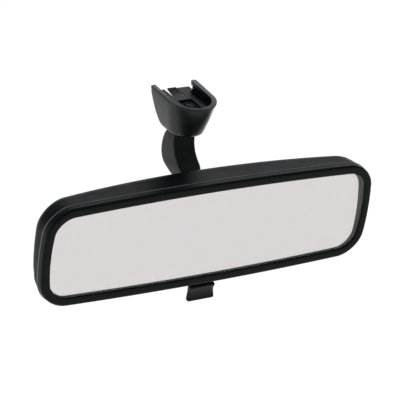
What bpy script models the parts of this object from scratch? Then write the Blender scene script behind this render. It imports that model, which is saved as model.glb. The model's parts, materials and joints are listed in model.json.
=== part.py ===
"""Interior rearview mirror: windscreen foot, double ball stalk and day/night mirror head.

Every length below is in millimetres; build_object() turns it into metres.
Axes: +X along the mirror, +Y towards the windscreen, +Z out of the foot's seat.
Origin: centre of the clip plate's top face, which the windscreen button bears on.
"""
import math

import bmesh
import bpy
from mathutils import Matrix, Vector

MM = 0.001
GAP = 0.3                              # clearance between neighbouring pieces

# Mirror head, measured from the centre of its front plane
HEAD = Vector((0.0, -52.0, -64.5))
GLASS_HALF_W, GLASS_HALF_H = 106.7, 27.7
CORNER_R = 10.5
BOW_TOP, BOW_BOTTOM, BOW_SIDE = 2.6, 2.3, 3.0
RIM = 5.2                              # bezel face, from the glass opening outwards
BEZEL_BACK = 4.3
LIP_BACK = 0.8                         # back of the lip that the glass rests against
SKIRT = 2.6                            # inner side of the bezel's skirt
SHELL_WALL = 2.2
SHELL_SIDE_Y, SHELL_SIDE_DROP = 18.2, 6.6   # where the rear rounding starts: middle, fall to the ends
SHELL_TAPER = 0.8                      # loss of half width towards the rear, doubled at the bottom
ROUNDING_TOP, ROUNDING_BOTTOM = 1.2, 6.0   # growth of the corners towards the rear
GLASS_Y, GLASS_THIN, GLASS_THICK = 1.1, 2.3, 5.5
GLASS_OVERLAP = 2.1                    # how far the glass reaches behind the lip

# Windscreen foot
FOOT_TOP, FOOT_BOTTOM = 4.2, -17.5
FOOT_R_TOP, FOOT_R_BOTTOM = 15.6, 11.0
FOOT_NOSE_TOP, FOOT_NOSE_BOTTOM = -9.8, -7.6    # centre of the rounded nose
FOOT_SHAPE = 1.4                       # how late the taper towards the bottom sets in
FOOT_END, FOOT_END_FALL = 10.8, 2.0    # open end at the top, and how far it steps back below
FOOT_FALL_HEIGHT = 9.8
RIM_SLOPE, RIM_MIDDLE = 0.065, -7.0     # the rim climbs towards the open end
FLOOR = -1.2
CHANNEL_R = 12.4
LIP_THICK = 1.8                        # of the shoe above the button's grooves
CLIP_HALF_W, CLIP_THICK = 9.1, 0.9
CLIP_WING_HALF_W, CLIP_END = 12.9, 13.2
POCKET_HALF_W = 4.7

# Ball joints
UPPER_BALL = Vector((0.0, -9.5, -5.4))
UPPER_R = 5.0
UPPER_LEAN = math.radians(21.8)        # neck direction, from straight down towards +Y
LINER_WALL = 1.1
LOWER_BALL = HEAD + Vector((0.0, 16.0, 10.5))
LOWER_R = 5.5
LOWER_RISE = math.radians(31.0)        # neck direction, from +Y upwards
CUP_WALL = 1.3
PLATE_R = 9.0                          # clamp plates around the lower ball
EAR_X, EAR_R, SCREW_R = 12.0, 3.6, 1.5

# Stalk
STALK_HALF_W = 7.4
UPPER_NECK_R, UPPER_STUD_LENGTH = 2.6, 16.0
LOWER_NECK_R, LOWER_STUD_LENGTH = 3.0, 24.0

# Day/night pivot and lever
NIGHT_PIVOT = HEAD + Vector((0.0, 14.0, -8.0))
NIGHT_PIN_R = 1.5
LEVER_PIVOT = HEAD + Vector((0.0, 11.0, -26.0))
LEVER_PIN_R = 1.2

UPPER_NECK = Vector((0.0, math.sin(UPPER_LEAN), -math.cos(UPPER_LEAN)))
LOWER_NECK = Vector((0.0, math.cos(LOWER_RISE), math.sin(LOWER_RISE)))
ACROSS = Vector((1.0, 0.0, 0.0))

MATERIALS = {
    "shell_plastic": ((0.020, 0.022, 0.024), 0.42, 0.0),
    "bezel_plastic": ((0.016, 0.018, 0.020), 0.38, 0.0),
    "foot_plastic": ((0.024, 0.026, 0.028), 0.40, 0.0),
    "stalk_plastic": ((0.020, 0.022, 0.023), 0.45, 0.0),
    "lever_plastic": ((0.014, 0.015, 0.016), 0.40, 0.0),
    "liner_plastic": ((0.05, 0.05, 0.05), 0.50, 0.0),
    "clip_steel": ((0.06, 0.062, 0.068), 0.35, 1.0),
    "bracket_steel": ((0.45, 0.45, 0.44), 0.35, 1.0),
    "ball_steel": ((0.30, 0.31, 0.32), 0.25, 1.0),
    "mirror_glass": ((0.80, 0.84, 0.82), 0.02, 0.0),
    "mirror_silver": ((0.85, 0.86, 0.86), 0.05, 1.0),
    "coat_paint": ((0.10, 0.11, 0.12), 0.60, 0.0),
    "pad_foam": ((0.05, 0.05, 0.05), 0.90, 0.0),
}


def clear_scene():
    for old in list(bpy.data.objects):
        bpy.data.objects.remove(old, do_unlink=True)


def material(name):
    found = bpy.data.materials.get(name)
    if found:
        return found
    colour, roughness, metallic = MATERIALS[name]
    made = bpy.data.materials.new(name)
    made.use_nodes = True
    shader = made.node_tree.nodes["Principled BSDF"]
    shader.inputs["Base Color"].default_value = (*colour, 1.0)
    shader.inputs["Roughness"].default_value = roughness
    shader.inputs["Metallic"].default_value = metallic
    return made


def joint_empty(name, point):
    empty = bpy.data.objects.new(name, None)
    empty.location = point * MM
    bpy.context.scene.collection.objects.link(empty)
    return empty


def build_object(name, bm, slot, parent=None):
    """Turn a millimetre bmesh into an object, with its origin at the parent's joint."""
    bmesh.ops.recalc_face_normals(bm, faces=bm.faces)
    origin = parent.location if parent else Vector()
    bm.transform(Matrix.Translation(-origin) @ Matrix.Scale(MM, 4))
    mesh = bpy.data.meshes.new(name)
    bm.to_mesh(mesh)
    bm.free()
    mesh.materials.append(material(slot))
    mesh.shade_smooth()
    mesh.set_sharp_from_angle(angle=math.radians(35))
    obj = bpy.data.objects.new(name, mesh)
    bpy.context.scene.collection.objects.link(obj)
    obj.parent = parent
    return obj


def cut(obj, bm, operation="DIFFERENCE"):
    """Boolean with a hidden tool object made from a millimetre bmesh."""
    tool = build_object(obj.name + "_tool", bm, "bracket_steel", obj.parent)
    tool.hide_render = True
    tool.display_type = "WIRE"
    modifier = obj.modifiers.new("shape", "BOOLEAN")
    modifier.operation = operation
    modifier.solver = "EXACT"
    modifier.object = tool


def bevel(obj, width, segments=2):
    modifier = obj.modifiers.new("edges", "BEVEL")
    modifier.width = width * MM
    modifier.segments = segments
    modifier.limit_method = "ANGLE"
    modifier.angle_limit = math.radians(40)


# ---------------------------------------------------------------- shape tools

def loft(rings, closed=False, strip_caps=False):
    """Skin a list of equally long rings; closed joins the last ring to the first."""
    bm = bmesh.new()
    loops = [[bm.verts.new(p) for p in ring] for ring in rings]
    count = len(loops[0])
    pairs = list(zip(loops, loops[1:]))
    if closed:
        pairs.append((loops[-1], loops[0]))
    for a, b in pairs:
        for i in range(count):
            j = (i + 1) % count
            bm.faces.new((a[i], a[j], b[j], b[i]))
    if not closed:
        for loop in (loops[0], loops[-1]):
            if strip_caps:
                for i in range(count // 2 - 1):
                    bm.faces.new((loop[i], loop[i + 1], loop[count - 2 - i], loop[count - 1 - i]))
            else:
                bm.faces.new(loop)
    return bm


def revolve(profile, origin, direction, segments=28):
    """Turn (radius, distance along direction) points into a body; radius 0 closes a pole."""
    turn = Vector((0, 0, 1)).rotation_difference(direction).to_matrix()
    bm = bmesh.new()
    loops = []
    for radius, along in profile:
        if radius == 0:
            loops.append([bm.verts.new(origin + turn @ Vector((0, 0, along)))])
            continue
        angles = [2 * math.pi * i / segments for i in range(segments)]
        points = [Vector((radius * math.cos(a), radius * math.sin(a), along)) for a in angles]
        loops.append([bm.verts.new(origin + turn @ p) for p in points])
    pairs = list(zip(loops, loops[1:]))
    if len(loops[0]) > 1:
        pairs.append((loops[-1], loops[0]))
    for a, b in pairs:
        for i in range(segments):
            j = (i + 1) % segments
            corners = [a[i % len(a)], a[j % len(a)], b[j % len(b)], b[i % len(b)]]
            unique = list(dict.fromkeys(corners))
            if len(unique) > 2:
                bm.faces.new(unique)
    return bm


def rod(centre, direction, radius, start, end, segments=20):
    """Solid cylinder between two distances along direction."""
    return revolve([(0, start), (radius, start), (radius, end), (0, end)], centre, direction, segments)


def box(low, high):
    bm = bmesh.new()
    size = [high[i] - low[i] for i in range(3)]
    middle = [(high[i] + low[i]) / 2 for i in range(3)]
    place = Matrix.Translation(middle) @ Matrix.Diagonal((*size, 1.0))
    bmesh.ops.create_cube(bm, size=1.0, matrix=place)
    return bm


def extrude_profile(outline, half_width):
    """Extrude a (y, z) outline along X, from -half_width to +half_width."""
    sides = [[Vector((x, y, z)) for y, z in outline] for x in (-half_width, half_width)]
    return loft(sides)


def arc(radius, start, end, steps):
    """(radius, angle) samples of an arc as (sin, cos) pairs times the radius."""
    angles = [math.radians(start + (end - start) * i / steps) for i in range(steps + 1)]
    return [(radius * math.sin(a), radius * math.cos(a)) for a in angles]


def smooth_curve(points, steps=4):
    """Catmull-Rom samples through a list of points of any dimension."""
    padded = [points[0], *points, points[-1]]
    out = []
    for p0, p1, p2, p3 in zip(padded, padded[1:], padded[2:], padded[3:]):
        for k in range(steps):
            t = k / steps
            out.append(tuple(
                0.5 * (2 * b + (c - a) * t + (2 * a - 5 * b + 4 * c - d) * t * t
                       + (3 * b - a - 3 * c + d) * t ** 3)
                for a, b, c, d in zip(p0, p1, p2, p3)))
    return out + [points[-1]]


# ---------------------------------------------------------------- mirror head

def head_outline(offset, taper=0.0):
    """(x, z) points of the head's bowed rounded rectangle, offset from the glass opening.

    The first half runs along the top from right to left, the second back along the bottom.
    """
    w, h = GLASS_HALF_W + offset, GLASS_HALF_H + offset
    spans = 12
    points = []
    for side, growth in ((1, ROUNDING_TOP), (-1, ROUNDING_BOTTOM)):
        r = min(max(CORNER_R + offset + growth * taper, 5.0), h - 0.5)
        half = [(w, 0.55 * (h - r))]
        for step in range(7):
            a = math.radians(15 * step)
            half.append((w - r + r * math.cos(a), h - r + r * math.sin(a)))
        half += [((w - r) * (1 - 2 * i / spans), h) for i in range(1, spans)]
        half += [(-x, z) for x, z in reversed(half[:8])]
        points += half if side > 0 else [(x, -z) for x, z in reversed(half)]
    bowed = []
    for x, z in points:
        bow = BOW_TOP if z > 0 else BOW_BOTTOM
        narrowing = BOW_SIDE * (z / h) ** 2 + SHELL_TAPER * taper * (1 - z / h)
        bowed.append((x * (1 - narrowing / w), z * (1 - bow / h * (x / w) ** 2)))
    return bowed


def head_ring(offset, depth, taper=0.0):
    """Ring of the head at an offset; depth is a number or a function of (x, z)."""
    rule = depth if callable(depth) else (lambda x, z: depth)
    return [HEAD + Vector((x, rule(x, z), z)) for x, z in head_outline(offset, taper)]


def shell_depth(extra):
    """Depth of the rear rounding, shallower towards the ends of the head."""
    reach = GLASS_HALF_W + RIM
    return lambda x, z: SHELL_SIDE_Y - SHELL_SIDE_DROP * (x / reach) ** 2 + extra


def rear_housing(parent):
    """Open shell: each row holds an offset from the rim, an added depth and a share of the taper."""
    lip = BEZEL_BACK + GAP
    inner_rim = RIM - SHELL_WALL
    round_in = [(-19.8, 7.8, 1.7), (-11.5, 6.9, 1.7), (-6.0, 5.6, 1.7), (-3.1, 4.5, 1.6), (-1.4, 3.3, 1.5),
                (-0.4, 1.7, 1.2), (0.0, 0.0, 1.0)]
    outer = [(0.35, lip, 0.0), (0.35, lip + 0.7, 0.0), (0.0, lip + 1.1, 0.0), (0.0, lip + 3.5, 0.3)]
    round_out = [(0.0, 0.0, 1.0), (-0.6, 2.6, 1.3), (-1.9, 4.8, 1.5), (-3.9, 6.3, 1.6), (-7.0, 7.6, 1.7),
                 (-13.0, 9.0, 1.7), (-22.0, 10.0, 1.7)]
    rings = [head_ring(inner_rim + o, shell_depth(d), t) for o, d, t in round_in]
    rings.append(head_ring(inner_rim, lip))
    rings += [head_ring(RIM + o, d, t) for o, d, t in outer]
    rings += [head_ring(RIM + o, shell_depth(d), t) for o, d, t in round_out]
    obj = build_object("rear_housing", loft(rings, strip_caps=True), "shell_plastic", parent)
    opening = [(0, 2.4), (10.2, 2.4), (11.1, 11.0), (11.8, 16.0), (14.6, 40.0), (0, 40.0)]
    cut(obj, revolve(opening, LOWER_BALL, LOWER_NECK))
    lever_slot = box(HEAD + Vector((-7.8, 5.4, -38)), HEAD + Vector((7.8, 16.5, -29)))
    cut(obj, lever_slot)
    return obj


def front_bezel(parent):
    section = [(RIM, BEZEL_BACK), (RIM, 1.7), (RIM - 0.2, 0.8), (RIM - 0.75, 0.2), (RIM - 1.5, 0.0),
               (0.45, 0.0), (0.12, 0.12), (0.0, 0.45), (0.0, LIP_BACK), (SKIRT, LIP_BACK),
               (SKIRT, BEZEL_BACK)]
    rings = [head_ring(o, y) for o, y in section]
    return build_object("front_bezel", loft(rings, closed=True), "bezel_plastic", parent)


def wedge_depth(extra):
    """Back of the prism: thin at the bottom, thick at the top."""
    slope = (GLASS_THICK - GLASS_THIN) / (2 * GLASS_HALF_H)
    return lambda x, z: GLASS_Y + GLASS_THIN + slope * (z + GLASS_HALF_H) + extra


def glass_stack(parent):
    """Prism glass, its silver coat and the protective backing, one behind the other."""
    layers = [("prism_glass", "mirror_glass", GLASS_Y, 0.0),
              ("silver_coat", "mirror_silver", 0.3, 0.6),
              ("coat_backing", "coat_paint", 0.9, 1.3)]
    for name, slot, near, far in layers:
        front = near if name == "prism_glass" else wedge_depth(near)
        rings = [head_ring(GLASS_OVERLAP, front), head_ring(GLASS_OVERLAP, wedge_depth(far))]
        build_object(name, loft(rings, strip_caps=True), slot, parent)
    for side, name in ((-1, "glass_pad_left"), (1, "glass_pad_right")):
        low, high = sorted((side * 52.0, side * 96.0))
        near, far = wedge_depth(1.6), wedge_depth(4.4)
        ring = [(low, -16.0), (high, -16.0), (high, 16.0), (low, 16.0)]
        rings = [[HEAD + Vector((x, rule(x, z), z)) for x, z in ring] for rule in (near, far)]
        build_object(name, loft(rings), "pad_foam", parent)


def pivot_bearings(parent):
    """Two posts on the housing that carry the ends of the night pivot pin."""
    for side, name in ((-1, "pivot_bearing_left"), (1, "pivot_bearing_right")):
        low, high = sorted((side * 24.0, side * 29.0))
        body = box(NIGHT_PIVOT + Vector((low, -3.2, -3.2)), NIGHT_PIVOT + Vector((high, 9.4, 3.2)))
        post = build_object(name, body, "shell_plastic", parent)
        bevel(post, 0.6)
        cut(post, rod(NIGHT_PIVOT + ACROSS * side * 26.5, ACROSS, NIGHT_PIN_R + GAP, -8, 8))


def pin(name, centre, radius, half_length, slot, parent):
    """Plain pin along X with chamfered ends."""
    chamfer = radius * 0.3
    profile = [(0, -half_length), (radius - chamfer, -half_length), (radius, chamfer - half_length),
               (radius, half_length - chamfer), (radius - chamfer, half_length), (0, half_length)]
    return build_object(name, revolve(profile, centre, ACROSS, 18), slot, parent)


# ---------------------------------------------------------------- day/night lever

def day_night_lever(parent):
    """Barrel on the lever pin, a stem through the housing slot and the finger tab below it."""
    p = LEVER_PIVOT
    bore, skin, half_length = LEVER_PIN_R + GAP, 2.9, 7.2
    tube = [(bore, -half_length), (skin, -half_length), (skin, half_length), (bore, half_length)]
    lever = build_object("day_night_lever", revolve(tube, p, ACROSS, 20), "lever_plastic", parent)
    stem = [(-2.6, -1.6), (-0.2, -2.5), (-2.4, -11.0), (-5.4, -11.0)]
    cut(lever, extrude_profile([(p.y + y, p.z + z) for y, z in stem], 7.0), "UNION")
    front, top, bottom = HEAD.y + 3.8, HEAD.z - 35.9, HEAD.z - 46.0
    # share of the height, half width, hollow of the front, depth of the back, corner
    levels = [(0.0, 8.6, 0.0, 3.0, 1.6), (0.12, 8.7, -0.35, 3.2, 1.6), (0.25, 8.7, 0.15, 3.2, 1.6),
              (0.5, 8.8, 0.85, 3.0, 1.6), (0.75, 9.2, 0.6, 2.8, 1.6), (0.92, 9.3, 0.1, 2.6, 1.6),
              (1.0, 8.4, 0.7, 1.9, 1.0)]
    rings = []
    for t, half, hollow, thick, corner in levels:
        z = top + (bottom - top) * t
        near, far = front + hollow, front + thick
        side = [(half, far), (half, near + 0.5), (half - corner, near)]
        rings.append([Vector((x, y, z)) for x, y in side] + [Vector((-x, y, z)) for x, y in reversed(side)])
    cut(lever, loft(rings), "UNION")
    return lever


# ---------------------------------------------------------------- toggle bracket and lower ball

def ball_cup(name, centre, direction, radius, wall, start, end, parent):
    """Part of a spherical shell between two polar angles from direction."""
    outer = arc(radius + wall, start, end, 5)
    inner = arc(radius, end, start, 5)
    return build_object(name, revolve(outer + inner, centre, direction), "liner_plastic", parent)


def clamp_plate(name, near, far, parent):
    """Dished ring whose bore follows the cups' outer sphere, with an ear on each side."""
    socket = LOWER_R + GAP + CUP_WALL + GAP
    bore = [(math.sqrt(socket ** 2 - d ** 2), d) for d in (far, (near + far) / 2, near)]
    ring = revolve([(PLATE_R, near), (PLATE_R, far)] + bore, LOWER_BALL, LOWER_NECK)
    plate = build_object(name, ring, "bracket_steel", parent)
    for side in (-1, 1):
        ear = LOWER_BALL + ACROSS * side * EAR_X
        cut(plate, rod(ear, LOWER_NECK, EAR_R, near, far), "UNION")
        cut(plate, rod(ear, LOWER_NECK, SCREW_R + GAP, -12, 12, 16))
    return plate


def toggle_bracket(parent):
    """Front clamp plate that reaches down to the night pivot, with a tail for the detent spring."""
    near, far = -4.6, -3.1
    bracket = clamp_plate("toggle_bracket", near, far, parent)
    p = NIGHT_PIVOT
    down = Vector((0, math.sin(LOWER_RISE), -math.cos(LOWER_RISE)))
    top = LOWER_BALL + LOWER_NECK * (near + far) / 2 + down * (PLATE_R - 0.5)
    arm = [(top.y - 0.6, top.z - 0.4), (top.y + 0.7, top.z + 0.4),
           (p.y + 0.7, p.z + 2.4), (p.y - 0.7, p.z + 2.4)]
    cut(bracket, extrude_profile(arm, 9.0), "UNION")
    cut(bracket, rod(p, ACROSS, 3.0, -20, 20), "UNION")
    tail = [(p.y - 0.7, p.z - 2.2), (p.y + 0.7, p.z - 2.2), (p.y + 1.6, p.z - 11.5), (p.y + 0.2, p.z - 11.5)]
    cut(bracket, extrude_profile(tail, 6.0), "UNION")
    cut(bracket, rod(p, ACROSS, NIGHT_PIN_R + GAP, -22, 22))


def lower_joint(parent):
    """Ball cups, clamp plates and screws around the lower ball, in line with the neck."""
    inner = LOWER_R + GAP
    ball_cup("lower_cup_rear", LOWER_BALL, LOWER_NECK, inner, CUP_WALL, 50, 77, parent)
    ball_cup("lower_cup_front", LOWER_BALL, LOWER_NECK, inner, CUP_WALL, 103, 148, parent)
    toggle_bracket(parent)
    clamp_plate("ball_clamp_plate", 3.1, 4.6, parent)
    for side, end in ((-1, "left"), (1, "right")):
        ear = LOWER_BALL + ACROSS * side * EAR_X
        screw = [(0, -7.2), (SCREW_R, -7.2), (SCREW_R, 4.6 + GAP), (2.9, 4.6 + GAP), (2.9, 6.4), (2.2, 7.0),
                 (0, 7.0)]
        build_object("clamp_screw_" + end, revolve(screw, ear, LOWER_NECK, 20), "bracket_steel", parent)
        nut = [(SCREW_R + GAP, -6.9), (3.0, -6.9), (3.0, -4.6 - GAP), (SCREW_R + GAP, -4.6 - GAP)]
        build_object("clamp_nut_" + end, revolve(nut, ear, LOWER_NECK, 6), "bracket_steel", parent)


def detent_spring(parent):
    """Bent leaf that snaps the lever between its two positions."""
    p = NIGHT_PIVOT
    route = smooth_curve([(3.4, -1.5), (4.6, -5.0), (3.2, -9.5), (3.9, -12.5)])
    near = [(p.y + y, p.z + z) for y, z in route]
    far = [(y + 0.6, z) for y, z in reversed(near)]
    build_object("detent_spring", extrude_profile(near + far, 5.0), "bracket_steel", parent)


# ---------------------------------------------------------------- stalk

def ball_stud(name, centre, direction, radius, neck_radius, length, parent):
    """Steel ball with a neck and a shank that is held in the stalk."""
    join = math.degrees(math.asin(neck_radius / radius))
    dome = arc(radius, 180, join, 12)
    profile = [(0, dome[0][1])] + dome[1:] + [(neck_radius, length), (0, length)]
    return build_object(name, revolve(profile, centre, direction, 28), "ball_steel", parent)


def stalk_ring(front, rear, half_width, corner):
    """Rounded rectangle between a front and a rear (y, z) point, flat-sided along X."""
    front, rear = Vector((0, *front)), Vector((0, *rear))
    middle, half_depth = (front + rear) / 2, (rear - front).length / 2
    along = (rear - front).normalized()
    points = []
    for sx, sy in ((1, 1), (-1, 1), (-1, -1), (1, -1)):
        angles = [0, 22.5, 45, 67.5, 90] if sx == sy else [90, 67.5, 45, 22.5, 0]
        for a in map(math.radians, angles):
            x = sx * (half_width - corner + corner * math.cos(a))
            y = sy * (half_depth - corner + corner * math.sin(a))
            points.append(middle + ACROSS * x + along * y)
    return points


def stalk(parent):
    """Curved flat-sided arm that tapers into a round neck at the head, with a ball stud at each end."""
    ball_stud("upper_ball_stud", UPPER_BALL, UPPER_NECK, UPPER_R, UPPER_NECK_R, UPPER_STUD_LENGTH, parent)
    ball_stud("lower_ball_stud", LOWER_BALL, LOWER_NECK, LOWER_R, LOWER_NECK_R, LOWER_STUD_LENGTH, parent)
    # front point, rear point, half width, corner
    stations = [((-9.0, -14.6), (-2.9, -13.6), 5.6, 1.8), ((-9.4, -15.6), (-2.0, -14.6), 6.4, 1.8),
                ((-9.4, -18.5), (-0.3, -17.4), 6.8, 1.9), ((-9.3, -22.0), (2.2, -21.5), STALK_HALF_W, 1.9),
                ((-10.2, -26.5), (4.1, -26.5), STALK_HALF_W, 1.9),
                ((-12.2, -30.8), (4.6, -32.0), STALK_HALF_W, 1.9),
                ((-15.6, -34.2), (3.5, -37.0), STALK_HALF_W, 1.9),
                ((-19.8, -37.2), (0.0, -41.0), STALK_HALF_W, 2.2),
                ((-22.6, -39.3), (-7.5, -45.2), 6.6, 3.2), ((-24.0, -40.6), (-14.0, -48.0), 5.9, 4.2),
                ((-25.0, -41.6), (-19.8, -50.2), 5.0, 4.8), ((-28.5, -44.1), (-23.9, -51.9), 4.5, 4.4)]
    rows = [(*f, *r, w, c) for f, r, w, c in stations]
    rings = [stalk_ring(row[:2], row[2:4], row[4], row[5]) for row in smooth_curve(rows, 2)]
    arm = build_object("stalk_arm", loft(rings), "stalk_plastic", parent)
    cut(arm, rod(UPPER_BALL, UPPER_NECK, UPPER_NECK_R + GAP, 3.0, UPPER_STUD_LENGTH + GAP))
    cut(arm, rod(LOWER_BALL, LOWER_NECK, LOWER_NECK_R + GAP, 9.0, LOWER_STUD_LENGTH + GAP))


# ---------------------------------------------------------------- foot

def foot_ring(z, radius, centre_y, end_y, corner, slope=0.0):
    """U-shaped plan: round nose at -Y, straight sides and a squared end with small corners."""
    points = []
    for step in range(17):
        a = math.radians(180 + 180 * step / 16)
        points.append(Vector((radius * math.cos(a), centre_y + radius * math.sin(a), z)))
    for sx, angles in ((1, range(0, 91, 22)), (-1, range(90, -1, -22))):
        for angle in angles:
            a = math.radians(min(angle, 90))
            x = sx * (radius - corner + corner * math.cos(a))
            points.append(Vector((x, end_y - corner + corner * math.sin(a), z)))
    for point in points:
        point.z += slope * (point.y - RIM_MIDDLE)
    return points


def foot_shoe():
    """U-shaped shoe that slides over the windscreen button and holds the upper ball."""
    rings = []
    levels = [(FOOT_TOP, 0.45), (FOOT_TOP - 0.5, 0.0), (-1.0, 0.0), (-5.5, 0.0), (-9.5, 0.0), (-13.0, 0.0),
              (-15.8, 0.0), (-16.9, 0.4), (FOOT_BOTTOM, 1.2)]
    for z, edge in levels:
        t = (FOOT_TOP - z) / (FOOT_TOP - FOOT_BOTTOM)
        taper = t ** FOOT_SHAPE
        radius = FOOT_R_TOP + (FOOT_R_BOTTOM - FOOT_R_TOP) * taper - edge
        centre = FOOT_NOSE_TOP + (FOOT_NOSE_BOTTOM - FOOT_NOSE_TOP) * taper
        end = FOOT_END - FOOT_END_FALL * min(1.0, (FOOT_TOP - z) / FOOT_FALL_HEIGHT) - edge
        rings.append(foot_ring(z, radius, centre, end, 1.0 + (radius - 2.0) * t ** 3, RIM_SLOPE * (1 - t)))
    shoe = build_object("foot_shoe", loft(rings), "foot_plastic")
    beyond = CLIP_END + 10.0
    channel = [foot_ring(z, CHANNEL_R, FOOT_NOSE_TOP, beyond, 1.0) for z in (FLOOR, FOOT_TOP + 4)]
    cut(shoe, loft(channel))
    for side in (-1, 1):
        low, high = sorted((side * (CLIP_HALF_W + GAP), side * (CHANNEL_R + 0.9)))
        cut(shoe, box((low, FOOT_NOSE_TOP - 2.0, FLOOR - 0.6), (high, beyond, FOOT_TOP - LIP_THICK)))
    button_pocket = box((-POCKET_HALF_W, -19.0, -6.0), (POCKET_HALF_W, -3.3, 2.0))
    cut(shoe, button_pocket)
    tongue_pocket = box((-8.6, 1.5, -5.6), (8.6, beyond, -0.5))
    cut(shoe, tongue_pocket)
    socket = UPPER_R + GAP + LINER_WALL + GAP
    dome = arc(socket, 180, 92, 8)
    bore = [(0, -socket)] + dome[1:]
    bore += [(socket + 0.1, 0.2), (socket + 0.1, 5.0), (9.8, 11.0), (10.2, 26.0), (0, 26.0)]
    cut(shoe, revolve(bore, UPPER_BALL, UPPER_NECK))
    return shoe


def button_clip():
    """Spring steel plate: two arms beside the pocket, a tongue bent up and wings at the open end."""
    blank = box((-CLIP_HALF_W, -17.0, -CLIP_THICK), (CLIP_HALF_W, CLIP_END, 0.0))
    clip = build_object("button_clip", blank, "clip_steel")
    wings = box((-CLIP_WING_HALF_W, 6.5, -CLIP_THICK), (CLIP_WING_HALF_W, CLIP_END, 0.0))
    cut(clip, wings, "UNION")
    cut(clip, box((-POCKET_HALF_W, -18.0, -3.0), (POCKET_HALF_W, -3.0, 3.0)))
    cut(clip, box((-4.1, 2.6, -3.0), (4.1, CLIP_END + 1.0, 3.0)))
    under = [(1.9, 0.0), (6.0, 0.1), (11.9, 1.2)]
    over = [(11.8, 1.3), (6.0, 0.2), (1.9, 0.0)]
    tongue = [(y, z - CLIP_THICK) for y, z in under] + over
    cut(clip, extrude_profile(tongue, 2.9), "UNION")
    return clip


def upper_joint(parent):
    """Plastic ball liner and the steel ring that keeps it in the shoe."""
    ball_cup("upper_ball_liner", UPPER_BALL, UPPER_NECK, UPPER_R + GAP, LINER_WALL, 64, 125, parent)
    ring = [(4.7, 3.95), (6.4, 3.95), (6.4, 4.9), (5.3, 4.9)]
    build_object("upper_retaining_ring", revolve(ring, UPPER_BALL, UPPER_NECK, 28), "bracket_steel")


def main():
    clear_scene()
    upper = joint_empty("upper_ball_centre", UPPER_BALL)
    lower = joint_empty("lower_ball_centre", LOWER_BALL)
    night = joint_empty("night_pivot_centre", NIGHT_PIVOT)
    lever = joint_empty("lever_pivot_centre", LEVER_PIVOT)
    foot_shoe()
    button_clip()
    upper_joint(upper)
    stalk(upper)
    lower_joint(lower)
    detent_spring(lower)
    pin("night_pivot_pin", NIGHT_PIVOT, NIGHT_PIN_R, 30.0, "bracket_steel", lower)
    rear_housing(night)
    front_bezel(night)
    glass_stack(night)
    pivot_bearings(night)
    pin("lever_pin", LEVER_PIVOT, LEVER_PIN_R, 11.0, "bracket_steel", night)
    day_night_lever(lever)


main()
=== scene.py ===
"""Interior rearview mirror on a pale studio floor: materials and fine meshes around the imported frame.

Shapes repeat the design's rules at a finer step, in millimetres; build() turns them into metres.
"""
import json
import math

import bmesh
import bpy
from mathutils import Matrix, Vector


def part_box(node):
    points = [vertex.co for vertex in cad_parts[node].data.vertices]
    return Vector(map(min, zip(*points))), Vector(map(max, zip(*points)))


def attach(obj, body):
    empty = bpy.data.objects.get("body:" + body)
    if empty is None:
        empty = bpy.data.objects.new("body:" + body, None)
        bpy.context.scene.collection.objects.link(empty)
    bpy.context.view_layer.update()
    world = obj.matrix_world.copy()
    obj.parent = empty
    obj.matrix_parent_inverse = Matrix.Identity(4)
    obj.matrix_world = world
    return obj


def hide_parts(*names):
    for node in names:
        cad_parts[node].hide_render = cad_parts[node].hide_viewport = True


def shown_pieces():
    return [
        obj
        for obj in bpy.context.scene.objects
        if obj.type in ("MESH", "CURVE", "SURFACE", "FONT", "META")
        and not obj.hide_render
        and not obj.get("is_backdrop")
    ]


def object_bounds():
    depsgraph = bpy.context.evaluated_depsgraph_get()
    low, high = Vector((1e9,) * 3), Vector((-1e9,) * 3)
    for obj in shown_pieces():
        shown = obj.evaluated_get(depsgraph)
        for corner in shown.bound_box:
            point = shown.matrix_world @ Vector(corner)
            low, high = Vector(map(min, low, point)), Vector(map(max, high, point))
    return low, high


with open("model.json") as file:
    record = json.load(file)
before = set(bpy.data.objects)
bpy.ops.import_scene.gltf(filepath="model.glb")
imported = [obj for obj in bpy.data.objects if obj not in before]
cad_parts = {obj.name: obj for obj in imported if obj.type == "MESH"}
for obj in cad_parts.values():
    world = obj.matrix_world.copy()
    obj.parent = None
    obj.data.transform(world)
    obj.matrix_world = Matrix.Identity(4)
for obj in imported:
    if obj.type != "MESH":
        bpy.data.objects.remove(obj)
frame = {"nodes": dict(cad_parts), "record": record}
cad_low, cad_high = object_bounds()

MM = 0.001


def mm(point):
    return Vector(point) / MM


# ---------------------------------------------------------------- sizes taken from the frame

bezel_low, bezel_high = (mm(p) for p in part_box("front_bezel"))
JOINTS = {j["name"]: j for j in frame["record"]["behaviour"]["joints"]}
UPPER_BALL = mm(JOINTS["stalk_tilt"]["pos_m"])
LOWER_BALL = mm(JOINTS["head_tilt"]["pos_m"])
LEVER_PIVOT = mm(JOINTS["lever_flip"]["pos_m"])

RIM = 5.2
BOW_TOP, BOW_BOTTOM, BOW_SIDE = 2.6, 2.3, 3.0
GLASS_HALF_W, GLASS_HALF_H = 106.7, 27.7
CORNER_R = 10.5
HEAD = Vector((0.0, bezel_low.y, (bezel_high.z + bezel_low.z) / 2))
BEZEL_BACK = bezel_high.y - bezel_low.y
LIP_BACK, SKIRT = 1.0, 2.6
GLASS_Y, GLASS_THIN, GLASS_THICK = 1.05, 2.3, 5.5
GLASS_OVERLAP = 2.1
SILVER_INSET, SILVER_GAP, SILVER_BACK = 0.45, 0.02, 0.3
EDGE_INNER, EDGE_OUTER = 0.12, 0.7
EDGE_FRONT_GAP, EDGE_BACK_GAP = 0.02, 0.03
SHELL_WALL = 2.2
SHELL_SIDE_Y, SHELL_SIDE_DROP = 18.2, 6.6
SHELL_TAPER = 0.8
ROUNDING_TOP, ROUNDING_BOTTOM = 1.2, 6.0
GAP = 0.3
UPPER_R, UPPER_NECK_R, UPPER_STUD_LENGTH = 5.0, 2.6, 16.0
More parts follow.
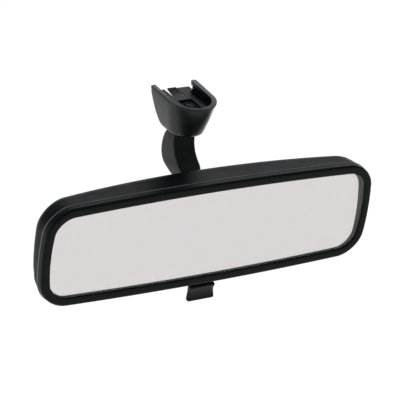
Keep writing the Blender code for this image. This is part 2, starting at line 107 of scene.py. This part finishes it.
LOWER_RISE = math.radians(31.0)
UPPER_LEAN = math.radians(21.8)
LOWER_NECK = Vector((0, math.cos(LOWER_RISE), math.sin(LOWER_RISE)))
UPPER_NECK = Vector((0, math.sin(UPPER_LEAN), -math.cos(UPPER_LEAN)))
ACROSS = Vector((1.0, 0.0, 0.0))

FOOT_TOP, FOOT_BOTTOM = 4.2, -17.5
FOOT_R_TOP, FOOT_R_BOTTOM = 15.6, 11.0
FOOT_NOSE_TOP, FOOT_NOSE_BOTTOM = -9.8, -7.6
FOOT_SHAPE = 1.4
FOOT_END, FOOT_END_FALL, FOOT_FALL_HEIGHT = 10.8, 2.0, 9.8
RIM_SLOPE, RIM_MIDDLE = 0.065, -7.0
FLOOR, CHANNEL_R, LIP_THICK = -1.2, 12.4, 1.8
CLIP_HALF_W, CLIP_THICK = 9.1, 0.9
CLIP_WING_HALF_W, CLIP_END = 12.9, 13.2
POCKET_HALF_W = 4.7

FLOOR_HALF, FLOOR_DROP, FLOOR_GLOW, WORLD_STRENGTH = 6.0, 0.16, 1.02, 0.30

# Camera: where it looks from, and the point of the head's front plane at the picture's centre
AZIMUTH, ELEVATION, ROLL = math.radians(-35.02), math.radians(27.04), math.radians(8.02)
DISTANCE = 1.2456
LENS = 192.62
AIM_RIGHT, AIM_UP = -0.00791, 0.02001


# ---------------------------------------------------------------- camera, light and floor

def view_axes():
    """Right, up and back directions of the rolled camera."""
    back = Vector((math.sin(AZIMUTH) * math.cos(ELEVATION), -math.cos(AZIMUTH) * math.cos(ELEVATION),
                   math.sin(ELEVATION)))
    right = Vector((math.cos(AZIMUTH), math.sin(AZIMUTH), 0))
    up = back.cross(right)
    return (right * math.cos(ROLL) + up * math.sin(ROLL), up * math.cos(ROLL) - right * math.sin(ROLL), back)


def make_camera():
    """Camera on the view's back axis, aimed a little beside the middle of the head's front plane."""
    right, up, back = view_axes()
    centre = HEAD * MM
    place = centre + back * DISTANCE
    target = centre + right * AIM_RIGHT + up * AIM_UP
    z_axis = (place - target).normalized()
    x_axis = up.cross(z_axis).normalized()
    y_axis = z_axis.cross(x_axis)
    data = bpy.data.cameras.new("camera")
    data.lens, data.sensor_width = LENS, 36.0
    data.clip_start, data.clip_end = 0.05, 20.0
    camera = bpy.data.objects.new("camera", data)
    camera.matrix_world = Matrix.Translation(place) @ Matrix((x_axis, y_axis, z_axis)).transposed().to_4x4()
    bpy.context.scene.collection.objects.link(camera)
    bpy.context.scene.camera = camera


def softbox(name, toward, distance, size, radiance, receivers, colour=(1.0, 1.0, 1.0)):
    """Area light that faces the object from a direction and lights only the object."""
    centre = HEAD * MM
    data = bpy.data.lights.new(name, "AREA")
    data.shape = "RECTANGLE"
    data.size, data.size_y = size
    data.energy = radiance * math.pi * size[0] * size[1]
    data.color = colour
    light = bpy.data.objects.new(name, data)
    direction = Vector(toward).normalized()
    light.location = centre + direction * distance
    light.rotation_mode = "QUATERNION"
    light.rotation_quaternion = direction.to_track_quat("Z", "Y")
    bpy.context.scene.collection.objects.link(light)
    light.light_linking.receiver_collection = receivers
    return light


def make_studio():
    """Even pale world and a glowing floor, which the mirror reflects."""
    world = bpy.data.worlds.new("studio")
    world.use_nodes = True
    background = world.node_tree.nodes["Background"]
    background.inputs["Color"].default_value = (1.0, 1.0, 1.0, 1.0)
    background.inputs["Strength"].default_value = WORLD_STRENGTH
    bpy.context.scene.world = world
    bpy.context.scene.view_settings.view_transform = "Standard"

    bm = bmesh.new()
    bmesh.ops.create_grid(bm, x_segments=1, y_segments=1, size=FLOOR_HALF)
    mesh = bpy.data.meshes.new("floor")
    bm.to_mesh(mesh)
    bm.free()
    floor = bpy.data.objects.new("floor", mesh)
    floor.location.z = cad_low.z - FLOOR_DROP
    bpy.context.scene.collection.objects.link(floor)
    paint = bpy.data.materials.new("floor")
    paint.use_nodes = True
    shader = paint.node_tree.nodes["Principled BSDF"]
    shader.inputs["Base Color"].default_value = (0.05, 0.05, 0.05, 1.0)
    shader.inputs["Roughness"].default_value = 0.9
    shader.inputs["Specular IOR Level"].default_value = 0.0
    shader.inputs["Emission Color"].default_value = (1.0, 1.0, 1.0, 1.0)
    shader.inputs["Emission Strength"].default_value = FLOOR_GLOW
    mesh.materials.append(paint)
    floor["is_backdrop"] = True


def make_lights():
    """Softboxes that light only the mirror's pieces."""
    lit = bpy.data.collections.new("lit_pieces")
    bpy.context.scene.collection.children.link(lit)
    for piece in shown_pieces():
        lit.objects.link(piece)
    softbox("back_top", (0.55, 0.80, 0.50), 0.9, (1.1, 0.6), 1.05, lit, (0.95, 0.99, 1.04))
    softbox("left_side", (-1.0, 0.35, 0.10), 0.9, (0.6, 0.9), 1.4, lit)
    softbox("right_rim", (0.8, 0.45, -0.35), 0.45, (0.25, 0.3), 5.0, lit)


# ---------------------------------------------------------------- materials

def linear(*srgb):
    """Linear colour from 0..255 display values."""
    return tuple(((v / 255 + 0.055) / 1.055) ** 2.4 if v > 10 else v / 255 / 12.92 for v in srgb)


def new_material(name):
    made = bpy.data.materials.new(name)
    made.use_nodes = True
    return made, made.node_tree, made.node_tree.nodes["Principled BSDF"]


def ramp(tree, source, low, high, positions=(0.3, 0.7)):
    """Colour ramp between two colours."""
    node = tree.nodes.new("ShaderNodeValToRGB")
    node.color_ramp.elements[0].position, node.color_ramp.elements[1].position = positions
    node.color_ramp.elements[0].color = (*low, 1.0)
    node.color_ramp.elements[1].color = (*high, 1.0)
    tree.links.new(source, node.inputs["Fac"])
    return node.outputs["Color"]


def noise(tree, scale, detail=4.0, roughness=0.55):
    """Noise in the piece's own coordinates."""
    place = tree.nodes.new("ShaderNodeTexCoord")
    node = tree.nodes.new("ShaderNodeTexNoise")
    node.inputs["Scale"].default_value = scale
    node.inputs["Detail"].default_value = detail
    node.inputs["Roughness"].default_value = roughness
    tree.links.new(place.outputs["Object"], node.inputs["Vector"])
    return node.outputs["Fac"]


def spread(tree, source, low, high):
    """Map a 0..1 value onto low..high."""
    node = tree.nodes.new("ShaderNodeMapRange")
    node.inputs["From Min"].default_value = 0.25
    node.inputs["From Max"].default_value = 0.75
    node.inputs["To Min"].default_value = low
    node.inputs["To Max"].default_value = high
    tree.links.new(source, node.inputs["Value"])
    return node.outputs["Result"]


def plastic(name, colour, roughness, specular=0.3, grain=2600.0, depth=0.00003, strength=0.25):
    """Moulded black plastic: fine spark-eroded grain, soft blotches of sheen."""
    made, tree, shader = new_material(name)
    tint = tuple(c * 1.35 for c in colour)
    tree.links.new(ramp(tree, noise(tree, 55.0), colour, tint), shader.inputs["Base Color"])
    tree.links.new(spread(tree, noise(tree, 140.0), roughness - 0.05, roughness + 0.06),
                   shader.inputs["Roughness"])
    shader.inputs["Specular IOR Level"].default_value = specular
    bump = tree.nodes.new("ShaderNodeBump")
    bump.inputs["Strength"].default_value = strength
    bump.inputs["Distance"].default_value = depth
    tree.links.new(noise(tree, grain, 2.0), bump.inputs["Height"])
    tree.links.new(bump.outputs["Normal"], shader.inputs["Normal"])
    return made


def metal(name, colour, roughness, scale=900.0, specular=0.5):
    """Stamped steel: slightly uneven colour and sheen."""
    made, tree, shader = new_material(name)
    dark = tuple(c * 0.75 for c in colour)
    tree.links.new(ramp(tree, noise(tree, 220.0), dark, colour), shader.inputs["Base Color"])
    tree.links.new(spread(tree, noise(tree, scale), roughness - 0.06, roughness + 0.08),
                   shader.inputs["Roughness"])
    shader.inputs["Metallic"].default_value = 1.0
    shader.inputs["Specular IOR Level"].default_value = specular
    bump = tree.nodes.new("ShaderNodeBump")
    bump.inputs["Strength"].default_value = 0.15
    bump.inputs["Distance"].default_value = 0.00002
    tree.links.new(noise(tree, scale * 2), bump.inputs["Height"])
    tree.links.new(bump.outputs["Normal"], shader.inputs["Normal"])
    return made


def silver():
    """Mirror film, with a faint unevenness in its tint."""
    made, tree, shader = new_material("silver_film")
    low, high = (0.720, 0.664, 0.684), (0.726, 0.670, 0.690)
    tree.links.new(ramp(tree, noise(tree, 12.0), low, high), shader.inputs["Base Color"])
    shader.inputs["Metallic"].default_value = 1.0
    shader.inputs["Roughness"].default_value = 0.0
    return made


def clear_glass():
    """Clear, faintly green glass."""
    made, tree, shader = new_material("prism_clear")
    tree.links.new(ramp(tree, noise(tree, 10.0), (0.955, 0.975, 0.965), (0.965, 0.98, 0.97)),
                   shader.inputs["Base Color"])
    shader.inputs["Transmission Weight"].default_value = 1.0
    shader.inputs["IOR"].default_value = 1.52
    shader.inputs["Roughness"].default_value = 0.0
    return made


def frosted_edge():
    """Ground glass edge: grey-green and rough."""
    made, tree, shader = new_material("ground_glass")
    tree.links.new(ramp(tree, noise(tree, 300.0), linear(72, 97, 80), linear(90, 115, 97)),
                   shader.inputs["Base Color"])
    tree.links.new(spread(tree, noise(tree, 700.0), 0.5, 0.62), shader.inputs["Roughness"])
    return made


SHELL = plastic("shell_black", linear(8, 10, 11), 0.42, specular=0.08, grain=1500.0, depth=0.00006,
                strength=0.45)
BEZEL = plastic("bezel_black", linear(10, 12, 12), 0.38, specular=0.1)
FOOT = plastic("foot_black", linear(12, 15, 14), 0.34, specular=0.33)
STALK = plastic("stalk_black", linear(16, 19, 18), 0.42, specular=0.22)
LEVER = plastic("lever_black", linear(14, 15, 15), 0.42, specular=0.2)
# Light grey bead colour: a painted highlight along the parting line, on a bead that is black plastic like the
# housing.
BEAD_PAINTED_HIGHLIGHT = plastic("parting_bead_painted_highlight", linear(88, 92, 97), 0.42, specular=0.35)
LINER = plastic("liner_black", linear(52, 52, 52), 0.5)
PAINT = plastic("back_paint", linear(60, 62, 66), 0.7)
FOAM = plastic("pad_foam", linear(28, 28, 28), 0.95, grain=900.0, depth=0.0003, strength=0.8)
CLIP = metal("clip_black_steel", linear(22, 25, 27), 0.45)
STEEL = metal("zinc_steel", linear(170, 170, 166), 0.38)
BALL = metal("ball_black_steel", linear(50, 53, 55), 0.5)
FROST = frosted_edge()
GLASS, SILVER = clear_glass(), silver()
SLOT_MATERIALS = {
    "shell_plastic": SHELL, "bezel_plastic": BEZEL, "foot_plastic": FOOT, "stalk_plastic": STALK,
    "lever_plastic": LEVER, "liner_plastic": LINER, "clip_steel": CLIP, "bracket_steel": STEEL,
    "ball_steel": BALL, "mirror_glass": GLASS, "mirror_silver": SILVER, "coat_paint": PAINT,
    "pad_foam": FOAM,
}


# ---------------------------------------------------------------- shape tools

def build(name, bm, finish, body, replaced=(), sharp=38):
    """Turn a millimetre bmesh into a piece that rides on a body."""
    bmesh.ops.recalc_face_normals(bm, faces=bm.faces)
    bm.transform(Matrix.Scale(MM, 4))
    mesh = bpy.data.meshes.new(name)
    bm.to_mesh(mesh)
    bm.free()
    mesh.materials.append(finish)
    mesh.shade_smooth()
    mesh.set_sharp_from_angle(angle=math.radians(sharp))
    obj = bpy.data.objects.new(name, mesh)
    bpy.context.scene.collection.objects.link(obj)
    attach(obj, body)
    if replaced:
        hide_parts(*replaced)
    return obj


def carve(bm, tool, operation="DIFFERENCE"):
    """Boolean between two millimetre bmeshes; returns a new bmesh."""
    objects = []
    for label, part in (("carve_body", bm), ("carve_tool", tool)):
        bmesh.ops.recalc_face_normals(part, faces=part.faces)
        mesh = bpy.data.meshes.new(label)
        part.to_mesh(mesh)
        part.free()
        obj = bpy.data.objects.new(label, mesh)
        bpy.context.scene.collection.objects.link(obj)
        objects.append(obj)
    body, cutter = objects
    modifier = body.modifiers.new("carve", "BOOLEAN")
    modifier.operation, modifier.solver, modifier.object = operation, "EXACT", cutter
    evaluated = body.evaluated_get(bpy.context.evaluated_depsgraph_get())
    out = bmesh.new()
    out.from_mesh(evaluated.to_mesh())
    evaluated.to_mesh_clear()
    for obj in objects:
        mesh = obj.data
        bpy.data.objects.remove(obj, do_unlink=True)
        bpy.data.meshes.remove(mesh)
    return out


def loft(rings, closed=False, strip_caps=False):
    """Skin over equal rings; closed joins the last ring to the first, else both ends are capped."""
    bm = bmesh.new()
    loops = [[bm.verts.new(p) for p in ring] for ring in rings]
    count = len(loops[0])
    pairs = list(zip(loops, loops[1:]))
    if closed:
        pairs.append((loops[-1], loops[0]))
    for a, b in pairs:
        for i in range(count):
            j = (i + 1) % count
            bm.faces.new((a[i], a[j], b[j], b[i]))
    if not closed:
        for loop in (loops[0], loops[-1]):
            if strip_caps:
                for i in range(count // 2 - 1):
                    bm.faces.new((loop[i], loop[i + 1], loop[count - 2 - i], loop[count - 1 - i]))
            else:
                bm.faces.new(loop)
    return bm


def revolve(profile, origin, direction, segments=72):
    """Turn a (radius, along) profile round a direction; it closes on itself unless it starts on the axis."""
    turn = Vector((0, 0, 1)).rotation_difference(direction).to_matrix()
    bm = bmesh.new()
    loops = []
    for radius, along in profile:
        if radius == 0:
            loops.append([bm.verts.new(origin + turn @ Vector((0, 0, along)))])
            continue
        angles = [2 * math.pi * i / segments for i in range(segments)]
        points = [Vector((radius * math.cos(a), radius * math.sin(a), along)) for a in angles]
        loops.append([bm.verts.new(origin + turn @ p) for p in points])
    pairs = list(zip(loops, loops[1:]))
    if len(loops[0]) > 1:
        pairs.append((loops[-1], loops[0]))
    for a, b in pairs:
        for i in range(segments):
            j = (i + 1) % segments
            corners = [a[i % len(a)], a[j % len(a)], b[j % len(b)], b[i % len(b)]]
            unique = list(dict.fromkeys(corners))
            if len(unique) > 2:
                bm.faces.new(unique)
    return bm


def box(low, high):
    bm = bmesh.new()
    size = [high[i] - low[i] for i in range(3)]
    middle = [(high[i] + low[i]) / 2 for i in range(3)]
    bmesh.ops.create_cube(bm, size=1.0, matrix=Matrix.Translation(middle) @ Matrix.Diagonal((*size, 1.0)))
    return bm


def merge(bm, *others):
    """Add other bmeshes to the first one as bodies of their own."""
    for other in others:
        mesh = bpy.data.meshes.new("merge")
        other.to_mesh(mesh)
        other.free()
        bm.from_mesh(mesh)
        bpy.data.meshes.remove(mesh)
    return bm


def arc(radius, start, end, steps):
    """(radius, along) points of a circle from one angle to another, in degrees from the axis."""
    angles = [math.radians(start + (end - start) * i / steps) for i in range(steps + 1)]
    return [(radius * math.sin(a), radius * math.cos(a)) for a in angles]


def smooth_curve(points, steps=4):
    """Catmull-Rom samples through a list of points of any dimension."""
    padded = [points[0], *points, points[-1]]
    out = []
    for p0, p1, p2, p3 in zip(padded, padded[1:], padded[2:], padded[3:]):
        for k in range(steps):
            t = k / steps
            out.append(tuple(
                0.5 * (2 * b + (c - a) * t + (2 * a - 5 * b + 4 * c - d) * t * t
                       + (3 * b - a - 3 * c + d) * t ** 3)
                for a, b, c, d in zip(p0, p1, p2, p3)))
    return out + [points[-1]]


def rounded(points, radius, steps=5):
    """Closed (u, v) polygon with each corner rounded as far as its sides allow."""
    out = []
    count = len(points)
    for i in range(count):
        before, here, after = (Vector(points[(i + k) % count]) for k in (-1, 0, 1))
        into, away = before - here, after - here
        reach = min(radius, into.length * 0.45, away.length * 0.45)
        start, end = here + into.normalized() * reach, here + away.normalized() * reach
        for k in range(steps + 1):
            t = k / steps
            out.append(tuple(start * (1 - t) ** 2 + here * 2 * t * (1 - t) + end * t * t))
    return out


# ---------------------------------------------------------------- mirror head

def head_outline(offset, taper=0.0):
    """(x, z) points of the bowed rounded rectangle, along the top and back along the bottom."""
    w, h = GLASS_HALF_W + offset, GLASS_HALF_H + offset
    sides, corner, spans = 5, 24, 56
    points = []
    for side, growth in ((1, ROUNDING_TOP), (-1, ROUNDING_BOTTOM)):
        r = min(max(CORNER_R + offset + growth * taper, 5.0), h - 0.5)
        half = [(w, (h - r) * i / sides) for i in range(1, sides)]
        for step in range(corner + 1):
            a = math.pi / 2 * step / corner
            half.append((w - r + r * math.cos(a), h - r + r * math.sin(a)))
        rise = len(half)
        half += [((w - r) * (1 - 2 * i / spans), h) for i in range(1, spans)]
        half += [(-x, z) for x, z in reversed(half[:rise])]
        points += half if side > 0 else [(x, -z) for x, z in reversed(half)]
    bowed = []
    for x, z in points:
        bow = BOW_TOP if z > 0 else BOW_BOTTOM
        narrowing = BOW_SIDE * (z / h) ** 2 + SHELL_TAPER * taper * (1 - z / h)
        bowed.append((x * (1 - narrowing / w), z * (1 - bow / h * (x / w) ** 2)))
    return bowed


def head_ring(offset, depth, taper=0.0):
    """The head's outline grown by an offset, at one depth or at a depth that depends on (x, z)."""
    rule = depth if callable(depth) else (lambda x, z: depth)
    return [HEAD + Vector((x, rule(x, z), z)) for x, z in head_outline(offset, taper)]


def shell_depth(extra):
    """Depth of the housing's side walls, falling towards both ends."""
    reach = GLASS_HALF_W + RIM
    return lambda x, z: SHELL_SIDE_Y - SHELL_SIDE_DROP * (x / reach) ** 2 + extra


def fine_shell():
    """Hollow housing with the neck's opening and the slot for the lever."""
    lip = BEZEL_BACK + GAP
    inner_rim = RIM - SHELL_WALL
    round_in = [(-19.8, 7.8, 1.7), (-11.5, 6.9, 1.7), (-6.0, 5.6, 1.7), (-3.1, 4.5, 1.6), (-1.4, 3.3, 1.5),
                (-0.4, 1.7, 1.2), (0.0, 0.0, 1.0)]
    outer = [(-0.25, lip, 0.0), (0.0, lip + 0.2, 0.0), (0.0, lip + 1.6, 0.05), (0.0, lip + 3.5, 0.25),
             (0.0, lip + 6.0, 0.5)]
    round_out = [(0.0, -1.5, 0.85), (0.0, 0.0, 1.0), (-0.6, 2.6, 1.3), (-1.9, 4.8, 1.5), (-3.9, 6.3, 1.6),
                 (-7.0, 7.6, 1.7), (-13.0, 9.0, 1.7), (-22.0, 10.0, 1.7)]
    rings = [head_ring(inner_rim + o, shell_depth(d), t) for o, d, t in smooth_curve(round_in, 2)]
    rings.append(head_ring(inner_rim, lip))
    rings += [head_ring(RIM + o, d, t) for o, d, t in outer]
    rings += [head_ring(RIM + o, shell_depth(d), t) for o, d, t in smooth_curve(round_out, 4)]
    shell = loft(rings, strip_caps=True)
    neck_opening = [(0, 2.4), (10.2, 2.4), (11.1, 11.0), (11.8, 16.0), (14.6, 40.0), (0, 40.0)]
    shell = carve(shell, revolve(neck_opening, LOWER_BALL, LOWER_NECK, 96))
    lever_slot = box(HEAD + Vector((-7.8, 5.4, -38)), HEAD + Vector((7.8, 16.5, -29)))
    shell = carve(shell, lever_slot)
    build("fine_shell", shell, SHELL, "head", ["rear_housing"], 30)


def parting_bead_painted_highlight():
    """Narrow raised bead where the housing meets the bezel; its light grey colour is a painted highlight
    along the parting line.
    """
    lip = BEZEL_BACK + GAP
    section = [(-0.5, -0.25), (0.12, -0.22), (0.30, -0.05), (0.36, 0.2),
               (0.30, 0.45), (0.12, 0.62), (-0.5, 0.65)]
    rings = [head_ring(RIM + outward, lip + back) for outward, back in section]
    build("parting_bead_painted_highlight", loft(rings, closed=True), BEAD_PAINTED_HIGHLIGHT, "head")


def fine_bezel():
    """Frame round the glass, rounded outside and with a thin lip over the glass."""
    edge = 1.6
    outer = [(RIM - edge + edge * math.cos(a), edge - edge * math.sin(a))
             for a in (math.pi / 2 * i / 8 for i in range(9))]
    section = [(SKIRT, BEZEL_BACK), (RIM - 0.3, BEZEL_BACK), (RIM, BEZEL_BACK - 0.3)] + outer
    section += [(RIM / 2, -0.05), (0.45, 0.0), (0.28, 0.04), (0.12, 0.14), (0.03, 0.3), (0.0, 0.45),
                (0.0, LIP_BACK), (SKIRT, LIP_BACK)]
    rings = [head_ring(o, y) for o, y in section]
    build("fine_bezel", loft(rings, closed=True), BEZEL, "head", ["front_bezel"], 40)


def wedge_depth(extra):
    """Depth of the prism's sloping back face."""
    slope = (GLASS_THICK - GLASS_THIN) / (2 * GLASS_HALF_H)
    return lambda x, z: GLASS_Y + GLASS_THIN + slope * (z + GLASS_HALF_H) + extra


def fine_glass():
    """Prism glass, its silver close behind, and the ground edge that shows through it."""
    rings = [head_ring(GLASS_OVERLAP, GLASS_Y), head_ring(GLASS_OVERLAP, wedge_depth(0.0))]
    build("fine_glass", loft(rings, strip_caps=True), GLASS, "head", ["prism_glass"])
    rings = [head_ring(-SILVER_INSET, wedge_depth(extra)) for extra in (SILVER_GAP, SILVER_BACK)]
    build("fine_silver", loft(rings, strip_caps=True), SILVER, "head", ["silver_coat"])
    edge_front, edge_back = GLASS_Y + EDGE_FRONT_GAP, wedge_depth(-EDGE_BACK_GAP)
    section = [(EDGE_INNER, edge_front), (EDGE_OUTER, edge_front),
               (EDGE_OUTER, edge_back), (EDGE_INNER, edge_back)]
    rings = [head_ring(o, d) for o, d in section]
    build("ground_edge", loft(rings, closed=True), FROST, "head")


# ---------------------------------------------------------------- lever, stalk and ball

def fine_lever():
    """Lever: hub on its pin, stem, and finger tab with a hollowed front."""
    p = LEVER_PIVOT
    bore, skin, half = 1.5, 2.9, 7.2
    lever = revolve([(bore, -half), (skin, -half), (skin, half), (bore, half)], p, ACROSS, 48)
    stem = rounded([(-2.6, -1.6), (-0.2, -2.5), (-2.4, -11.0), (-5.4, -11.0)], 0.5)
    sides = [[Vector((x, p.y + y, p.z + z)) for y, z in stem] for x in (-7.0, 7.0)]
    front, top, bottom = HEAD.y + 3.8, HEAD.z - 35.9, HEAD.z - 46.0
    levels = [(0.0, 8.5, 0.1, 2.9, 1.2), (0.04, 8.6, -0.25, 3.1, 1.4), (0.12, 8.7, -0.45, 3.2, 1.6),
              (0.2, 8.7, -0.1, 3.2, 1.6), (0.3, 8.7, 0.45, 3.2, 1.6), (0.5, 8.8, 0.85, 3.0, 1.6),
              (0.75, 9.2, 0.6, 2.8, 1.6), (0.9, 9.2, 0.1, 2.6, 1.4), (0.97, 8.7, 0.25, 2.3, 1.2),
              (1.0, 7.9, 0.7, 1.9, 0.9)]
    rings = []
    for t, half, hollow, thick, corner in smooth_curve(levels, 4):
        outline = [(half, front + thick), (half, front + hollow),
                   (-half, front + hollow), (-half, front + thick)]
        z = top + (bottom - top) * t
        rings.append([Vector((x, y, z)) for x, y in rounded(outline, corner * 0.7, 6)])
    merge(lever, loft(sides), loft(rings))
    build("fine_lever", lever, LEVER, "lever", ["day_night_lever"], 50)


def stalk_ring(front, rear, half_width, corner, steps=8):
    """Rounded rectangle between a front and a rear (y, z) point of the stalk."""
    front, rear = Vector((0, *front)), Vector((0, *rear))
    middle, half_depth = (front + rear) / 2, (rear - front).length / 2
    along = (rear - front).normalized()
    points = []
    for sx, sy in ((1, 1), (-1, 1), (-1, -1), (1, -1)):
        angles = [90 * i / steps for i in range(steps + 1)]
        for a in map(math.radians, angles if sx == sy else reversed(angles)):
            x = sx * (half_width - corner + corner * math.cos(a))
            y = sy * (half_depth - corner + corner * math.sin(a))
            points.append(middle + ACROSS * x + along * y)
    return points


def fine_stalk():
    """Curved flat-sided arm that narrows to a round neck at the lower ball."""
    wide = 7.4
    stations = [((-8.8, -14.7), (-3.1, -13.7), 5.2, 2.2), ((-9.1, -15.6), (-2.2, -14.7), 6.0, 2.2),
                ((-9.2, -18.5), (-0.4, -17.4), 6.6, 2.0), ((-9.3, -22.0), (2.2, -21.5), wide, 1.6),
                ((-10.2, -26.5), (4.1, -26.5), wide, 1.6), ((-12.2, -30.8), (4.6, -32.0), wide, 1.6),
                ((-15.6, -34.2), (3.5, -37.0), wide, 1.7), ((-19.8, -37.2), (0.0, -41.0), wide, 2.2),
                ((-22.6, -39.3), (-7.5, -45.2), 6.6, 3.2), ((-24.0, -40.6), (-14.0, -48.0), 5.9, 4.2),
                ((-25.0, -41.6), (-19.8, -50.2), 5.0, 4.8), ((-28.5, -44.1), (-23.9, -51.9), 4.5, 4.4)]
    rows = smooth_curve([(*f, *r, w, c) for f, r, w, c in stations], 6)
    rings = [stalk_ring(row[:2], row[2:4], row[4], row[5]) for row in rows]
    build("fine_stalk", loft(rings), STALK, "stalk", ["stalk_arm"], 42)


def fine_upper_ball():
    """Ball and stud under the pocket of the foot."""
    join = math.degrees(math.asin(UPPER_NECK_R / UPPER_R))
    dome = arc(UPPER_R, 180, join, 40)
    profile = [(0, dome[0][1])] + dome[1:] + [(UPPER_NECK_R, UPPER_STUD_LENGTH), (0, UPPER_STUD_LENGTH)]
    build("fine_upper_ball", revolve(profile, UPPER_BALL, UPPER_NECK), BALL, "stalk",
          ["upper_ball_stud"])


# ---------------------------------------------------------------- foot

def foot_ring(z, radius, centre_y, end_y, corner, slope=0.0):
    """Half round at the nose, straight sides, rounded corners at the rear."""
    points = []
    for step in range(65):
        a = math.radians(180 + 180 * step / 64)
        points.append(Vector((radius * math.cos(a), centre_y + radius * math.sin(a), z)))
    for sx in (1, -1):
        angles = [90 * i / 10 for i in range(11)]
        for a in map(math.radians, angles if sx == 1 else reversed(angles)):
            x = sx * (radius - corner + corner * math.cos(a))
            points.append(Vector((x, end_y - corner + corner * math.sin(a), z)))
    for point in points:
        point.z += slope * (point.y - RIM_MIDDLE)
    return points


def fine_foot():
    """Tapering shoe with its open channel, side grooves, ball pocket and socket bore."""
    rings = []
    levels = [(FOOT_TOP, 0.35), (FOOT_TOP - 0.1, 0.12), (FOOT_TOP - 0.35, 0.0), (3.0, 0.0), (1.0, 0.0)]
    levels += [(-1.0 - 1.2 * i, 0.0) for i in range(12)]
    levels += [(-15.4, 0.03), (-16.2, 0.15), (-16.8, 0.38), (-17.2, 0.68), (FOOT_BOTTOM, 1.2)]
    for z, edge in levels:
        t = (FOOT_TOP - z) / (FOOT_TOP - FOOT_BOTTOM)
        taper = t ** FOOT_SHAPE
        radius = FOOT_R_TOP + (FOOT_R_BOTTOM - FOOT_R_TOP) * taper - edge
        centre = FOOT_NOSE_TOP + (FOOT_NOSE_BOTTOM - FOOT_NOSE_TOP) * taper
        end = FOOT_END - FOOT_END_FALL * min(1.0, (FOOT_TOP - z) / FOOT_FALL_HEIGHT) - edge
        rings.append(foot_ring(z, radius, centre, end, 1.0 + (radius - 2.0) * t ** 3, RIM_SLOPE * (1 - t)))
    shoe = loft(rings)
    beyond = CLIP_END + 10.0
    channel = [foot_ring(z, CHANNEL_R, FOOT_NOSE_TOP, beyond, 1.0) for z in (FLOOR, FOOT_TOP + 4)]
    shoe = carve(shoe, loft(channel))
    for side in (-1, 1):
        low, high = sorted((side * (CLIP_HALF_W + GAP), side * (CHANNEL_R + 0.9)))
        groove = box((low, FOOT_NOSE_TOP - 2.0, FLOOR - 0.6), (high, beyond, FOOT_TOP - LIP_THICK))
        shoe = carve(shoe, groove)
    shoe = carve(shoe, box((-POCKET_HALF_W, -19.0, -6.0), (POCKET_HALF_W, -3.3, 2.0)))
    shoe = carve(shoe, box((-8.6, 1.5, -5.6), (8.6, beyond, -0.5)))
    socket = 6.7
    bore = [(0, -socket)] + arc(socket, 180, 92, 24)[1:]
    bore += [(socket + 0.1, 0.2), (socket + 0.1, 5.0), (9.8, 11.0), (10.2, 26.0), (0, 26.0)]
    shoe = carve(shoe, revolve(bore, UPPER_BALL, UPPER_NECK))
    build("fine_foot", shoe, FOOT, "foot", ["foot_shoe"], 32)


def fine_clip():
    """Slotted spring plate with its bent tongue."""
    clip = box((-CLIP_HALF_W, -17.0, -CLIP_THICK), (CLIP_HALF_W, CLIP_END, 0.0))
    clip = carve(clip, box((-CLIP_WING_HALF_W, 6.5, -CLIP_THICK), (CLIP_WING_HALF_W, CLIP_END, 0.0)), "UNION")
    clip = carve(clip, box((-POCKET_HALF_W, -18.0, -3.0), (POCKET_HALF_W, -3.0, 3.0)))
    clip = carve(clip, box((-4.1, 2.6, -3.0), (4.1, CLIP_END + 1.0, 3.0)))
    bend = smooth_curve([(1.9, 0.0), (4.0, 0.02), (6.0, 0.15), (9.0, 0.65), (11.85, 1.3)], 5)
    outline = bend + [(y, z - CLIP_THICK) for y, z in reversed(bend)]
    tongue = loft([[Vector((x, y, z)) for y, z in outline] for x in (-2.9, 2.9)])
    clip = carve(clip, tongue, "UNION")
    piece = build("fine_clip", clip, CLIP, "foot", ["button_clip"], 30)
    edges = piece.modifiers.new("edges", "BEVEL")
    edges.width, edges.segments = 0.18 * MM, 2
    edges.limit_method, edges.angle_limit = "ANGLE", math.radians(50)


def dress_cad_nodes():
    """Give every CAD node the material of its slot."""
    slots = {row["node"]: row["material_slot"] for row in frame["record"]["subparts"]}
    for name, node in frame["nodes"].items():
        finish = SLOT_MATERIALS[slots[name]]
        if node.data.materials:
            for i in range(len(node.material_slots)):
                node.material_slots[i].material = finish
        else:
            node.data.materials.append(finish)


make_camera()
make_studio()
dress_cad_nodes()
fine_shell()
parting_bead_painted_highlight()
fine_bezel()
fine_glass()
fine_lever()
fine_stalk()
fine_upper_ball()
fine_foot()
fine_clip()
make_lights()
